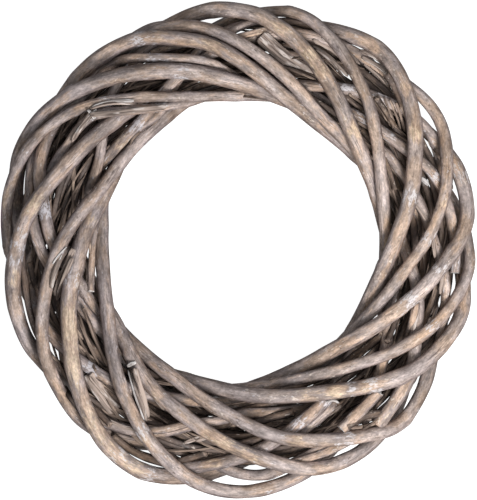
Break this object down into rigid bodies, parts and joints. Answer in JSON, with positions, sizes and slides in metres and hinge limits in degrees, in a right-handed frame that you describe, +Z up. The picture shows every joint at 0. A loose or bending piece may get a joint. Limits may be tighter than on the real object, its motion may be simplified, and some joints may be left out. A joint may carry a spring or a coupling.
{
  "type": "willow wreath",
  "caption": "Round wreath of bare weathered willow rods wound round a ring of twigs, lying flat, with an open middle.",
  "frame": {"origin": "middle of the wreath's outline, on the surface that it lies on", "axes": "+Z up along the hole; +Y and +X are up and right in the view from above"},
  "size_m": [0.2876, 0.3012, 0.0578],
  "materials": {
    "outer_bark": "weathered grey-brown willow bark, matte, white-washed on the ridges and rubbed tan",
    "binding_bark": "weathered willow bark, matte, a little warmer, with pale cut ends",
    "core_bark": "thin dark twigs with shredded bark, matte"
  },
  "bodies": {
    "root": {"outer_rod_1": "outer_bark", "outer_rod_2": "outer_bark", "outer_rod_3": "outer_bark", "outer_rod_4": "outer_bark", "outer_rod_5": "outer_bark", "outer_rod_6": "outer_bark", "outer_rod_7": "outer_bark", "outer_rod_8": "outer_bark", "thin_outer_rod": "outer_bark", "kinked_rod": "outer_bark", "binding_rod_1": "binding_bark", "binding_rod_2": "binding_bark", "binding_rod_3": "binding_bark", "binding_rod_4": "binding_bark", "binding_rod_5": "binding_bark", "binding_rod_6": "binding_bark", "binding_rod_7": "binding_bark", "core_twig_1": "core_bark", "core_twig_2": "core_bark", "core_twig_3": "core_bark", "core_twig_4": "core_bark", "core_twig_5": "core_bark", "core_twig_6": "core_bark", "core_twig_7": "core_bark", "core_twig_8": "core_bark", "core_twig_9": "core_bark", "core_twig_10": "core_bark", "core_twig_11": "core_bark", "core_twig_12": "core_bark", "core_twig_13": "core_bark", "core_twig_14": "core_bark", "core_twig_15": "core_bark", "core_twig_16": "core_bark", "core_twig_17": "core_bark"}
  },
  "joints": []
}
